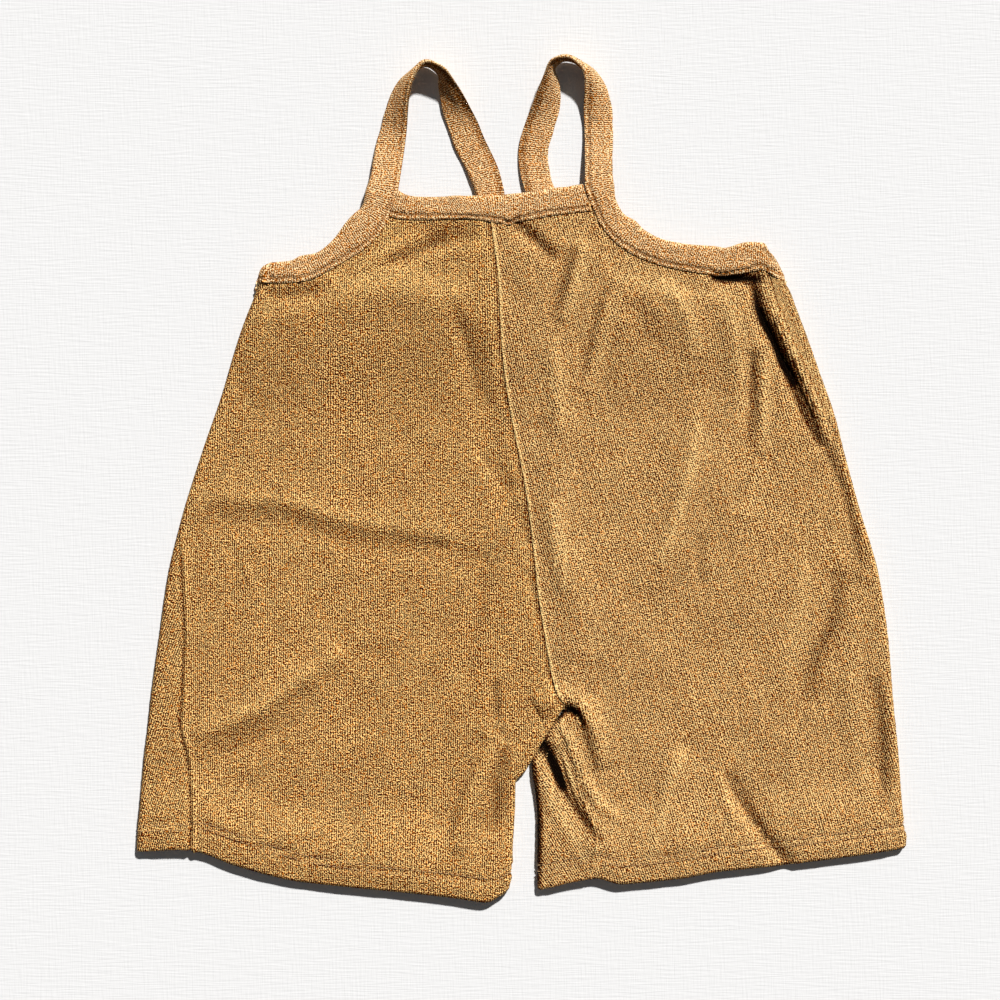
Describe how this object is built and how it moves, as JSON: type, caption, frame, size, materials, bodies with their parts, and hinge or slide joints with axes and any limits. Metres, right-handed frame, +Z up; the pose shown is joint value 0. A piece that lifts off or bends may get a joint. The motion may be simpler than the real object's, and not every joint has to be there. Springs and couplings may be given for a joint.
{
  "type": "baby romper",
  "caption": "Sleeveless dungaree-cut baby romper in caramel ribbed terry, laid flat face up, with strap loops, bound armholes and neck, and short hemmed legs",
  "frame": {"origin": "bottom centre of the garment's box, on the surface it lies on", "axes": "+X to the viewer's right, +Y from the hems towards the straps, +Z up from the surface, out of the front"},
  "size_m": [0.4227, 0.4631, 0.0183],
  "materials": {
    "terry": "caramel ribbed terry, soft and matt",
    "terry_band": "caramel ribbed terry, ribs across the strip"
  },
  "bodies": {
    "root": {"front_left": "terry", "front_right": "terry", "back_left": "terry", "back_right": "terry", "neck_band_front": "terry_band", "neck_band_back": "terry_band", "binding_left": "terry_band", "binding_right": "terry_band"}
  },
  "joints": []
}
